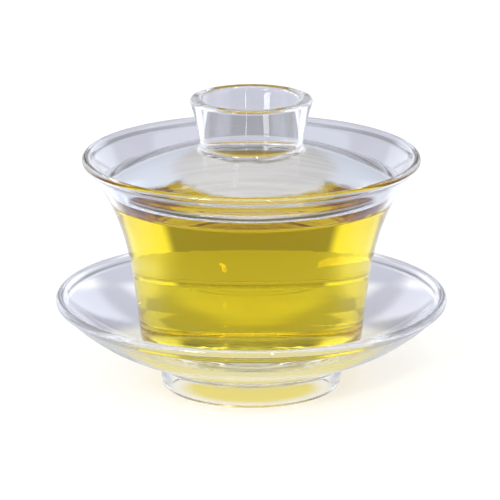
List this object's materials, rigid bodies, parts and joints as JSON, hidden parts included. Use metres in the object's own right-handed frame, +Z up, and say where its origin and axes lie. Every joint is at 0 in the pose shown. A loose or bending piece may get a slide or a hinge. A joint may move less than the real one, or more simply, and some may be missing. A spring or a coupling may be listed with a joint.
{
  "type": "gaiwan",
  "caption": "Clear glass lidded tea bowl with an open ring knob, on a footed glass saucer and filled with yellow tea; the lid and the bowl lift off.",
  "frame": {"origin": "centre of the saucer's foot ring, on the table", "axes": "+Z up along the common axis of the saucer, bowl and lid; the object is round, so X and Y are alike"},
  "size_m": [0.1176, 0.1176, 0.0879],
  "materials": {
    "saucer_glass": "polished",
    "bowl_glass": "polished",
    "lid_glass": "polished",
    "tea_liquor": "gloss"
  },
  "bodies": {
    "saucer": {"saucer": "saucer_glass"},
    "bowl": {"bowl": "bowl_glass", "tea": "tea_liquor"},
    "lid": {"lid": "lid_glass"}
  },
  "joints": [
    {"name": "bowl_lift", "type": "slide", "parent": "saucer", "child": "bowl", "axis": [0, 0, 1], "range_m": [0, 0.08]},
    {"name": "lid_lift", "type": "slide", "parent": "bowl", "child": "lid", "axis": [0, 0, 1], "range_m": [0, 0.06]}
  ]
}
